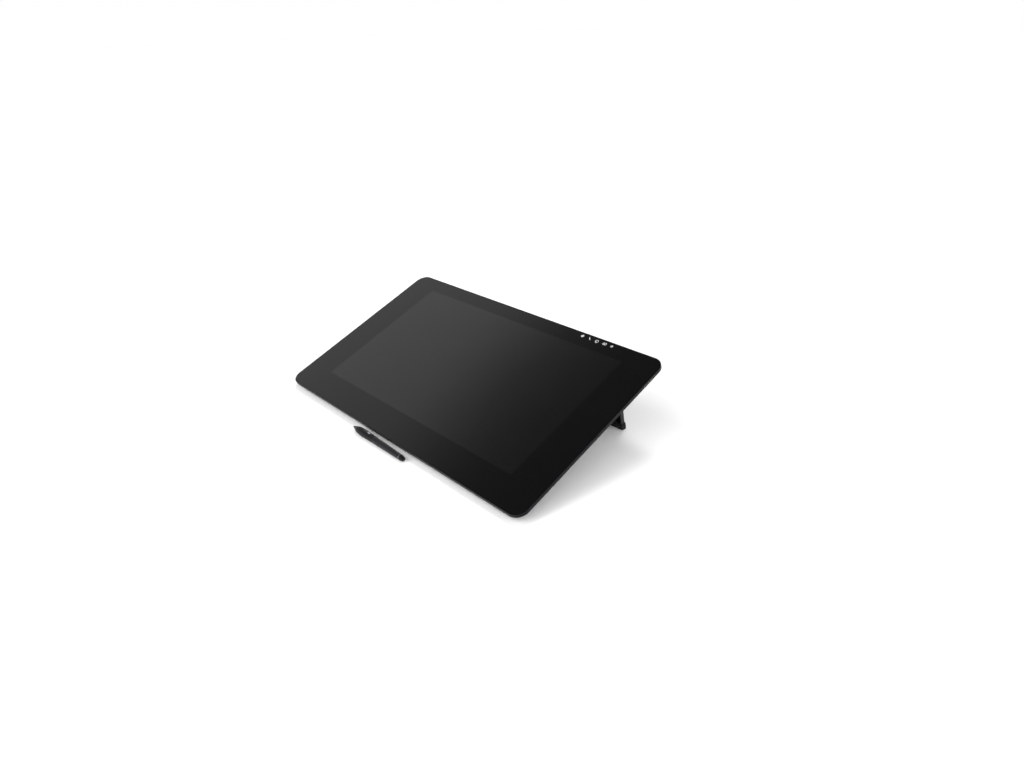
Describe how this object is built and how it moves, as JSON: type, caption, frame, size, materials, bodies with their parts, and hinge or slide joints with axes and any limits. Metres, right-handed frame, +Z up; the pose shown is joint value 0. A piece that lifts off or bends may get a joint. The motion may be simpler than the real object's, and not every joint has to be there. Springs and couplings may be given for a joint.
{
  "type": "graphics tablet with screen",
  "caption": "Pen display with a black glass front, thin frame, tapered rear cover with fold-out legs, port bay and vents, and a cordless pen lying in front.",
  "frame": {"origin": "on the desk, under the middle of the whole set, display and pen together", "axes": "+Z up, +X to the user's right along the front edge, +Y from the user to the back of the desk"},
  "size_m": [0.677, 0.3932, 0.1493],
  "materials": {
    "cover_glass": "etched glass, dark behind",
    "clear_adhesive": "clear",
    "panel_glass": "smooth",
    "diffuser_film": "frosted",
    "clear_acrylic": "polished",
    "white_film": "matt",
    "circuit_board": "solder resist",
    "pressed_steel": "zinc plated",
    "anodised_aluminium": "black anodised",
    "cast_magnesium": "as cast",
    "black_plastic": "fine texture",
    "brass_insert": "turned",
    "black_steel": "black oxide",
    "rubber_foot": "moulded",
    "extruded_aluminium": "bare",
    "button_plastic": "satin",
    "nickel_steel": "nickel plated",
    "pen_plastic": "fine matt",
    "pen_rubber": "soft matt",
    "ferrite": "sintered",
    "copper_winding": "lacquered copper wire",
    "fan_plastic": "moulded",
    "leg_plastic": "fine texture"
  },
  "bodies": {
    "display": {"cover_glass": "cover_glass", "optical_adhesive": "clear_adhesive", "lcd_cell": "panel_glass", "optical_films": "diffuser_film", "light_guide": "clear_acrylic", "led_bar": "circuit_board", "reflector_sheet": "white_film", "backlight_tray": "pressed_steel", "digitizer_board": "circuit_board", "shield_plate": "pressed_steel", "touch_key_board": "circuit_board", "front_frame": "anodised_aluminium", "chassis": "cast_magnesium", "rear_cover": "black_plastic", "mount_inserts": "brass_insert", "cover_screws": "black_steel", "front_feet": "rubber_foot", "rear_feet": "rubber_foot", "main_board": "circuit_board", "power_board": "circuit_board", "heat_sink": "extruded_aluminium", "port_board": "circuit_board", "power_socket": "black_plastic", "headphone_jack": "black_plastic", "switch_board": "circuit_board", "usb_c_socket": "nickel_steel", "hdmi_socket": "nickel_steel", "display_port_socket": "nickel_steel", "usb_socket_left_upper": "nickel_steel", "usb_socket_left_lower": "nickel_steel", "fan_housing_left": "fan_plastic", "hinge_pin_left": "nickel_steel", "hinge_bracket_left": "cast_magnesium", "usb_socket_right_upper": "nickel_steel", "usb_socket_right_lower": "nickel_steel", "fan_housing_right": "fan_plastic", "hinge_pin_right": "nickel_steel", "hinge_bracket_right": "cast_magnesium"},
    "leg_left": {"leg_plate_left": "leg_plastic", "leg_foot_left": "rubber_foot"},
    "leg_right": {"leg_plate_right": "leg_plastic", "leg_foot_right": "rubber_foot"},
    "fan_rotor_left": {"fan_rotor_left": "fan_plastic"},
    "fan_rotor_right": {"fan_rotor_right": "fan_plastic"},
    "power_button": {"power_button": "button_plastic"},
    "touch_switch": {"touch_switch": "button_plastic"},
    "pen": {"pen_nose_cone": "pen_plastic", "pen_grip_sleeve": "pen_rubber", "pen_barrel": "pen_plastic", "pen_ferrite_core": "ferrite", "pen_coil": "copper_winding", "pen_pressure_sensor": "pen_plastic", "pen_circuit_board": "circuit_board"},
    "pen_nib": {"pen_nib": "pen_plastic"},
    "pen_eraser": {"pen_eraser": "pen_rubber"},
    "pen_side_switch": {"pen_side_switch": "button_plastic"}
  },
  "joints": [
    {"name": "leg_left_fold", "type": "hinge", "parent": "display", "child": "leg_left", "pos_m": [-0.2435, 0.14308, 0.09301], "axis": [-1, 0, 0], "range_deg": [0, 82.5]},
    {"name": "leg_right_fold", "type": "hinge", "parent": "display", "child": "leg_right", "pos_m": [0.2435, 0.14308, 0.09301], "axis": [-1, 0, 0], "range_deg": [0, 82.5]},
    {"name": "fan_left_spin", "type": "hinge", "parent": "display", "child": "fan_rotor_left", "pos_m": [-0.15503, -0.00513, 0.0412], "axis": [0, -0.342, 0.9397], "continuous": true},
    {"name": "fan_right_spin", "type": "hinge", "parent": "display", "child": "fan_rotor_right", "pos_m": [0.15503, -0.00513, 0.0412], "axis": [0, -0.342, 0.9397], "continuous": true},
    {"name": "power_press", "type": "slide", "parent": "display", "child": "power_button", "axis": [0, -0.9397, -0.342], "range_m": [0, 0.0005], "stiffness_N_per_m": 1000},
    {"name": "touch_switch_slide", "type": "slide", "parent": "display", "child": "touch_switch", "axis": [1, 0, 0], "range_m": [0, 0.004]},
    {"name": "pen_lift", "type": "slide", "parent": "display", "child": "pen", "axis": [0, 0, 1], "range_m": [0, 0.1]},
    {"name": "nib_press", "type": "slide", "parent": "pen", "child": "pen_nib", "axis": [0.9998, 0, -0.0191], "range_m": [0, 0.0004], "stiffness_N_per_m": 1500},
    {"name": "eraser_press", "type": "slide", "parent": "pen", "child": "pen_eraser", "axis": [-0.9998, 0, 0.0191], "range_m": [0, 0.0006], "stiffness_N_per_m": 1500},
    {"name": "side_switch_rock", "type": "hinge", "parent": "pen", "child": "pen_side_switch", "pos_m": [-0.0409, -0.18901, 0.01328], "axis": [0, 1, 0], "range_deg": [-3, 3], "stiffness_Nm_per_rad": 0.02}
  ]
}
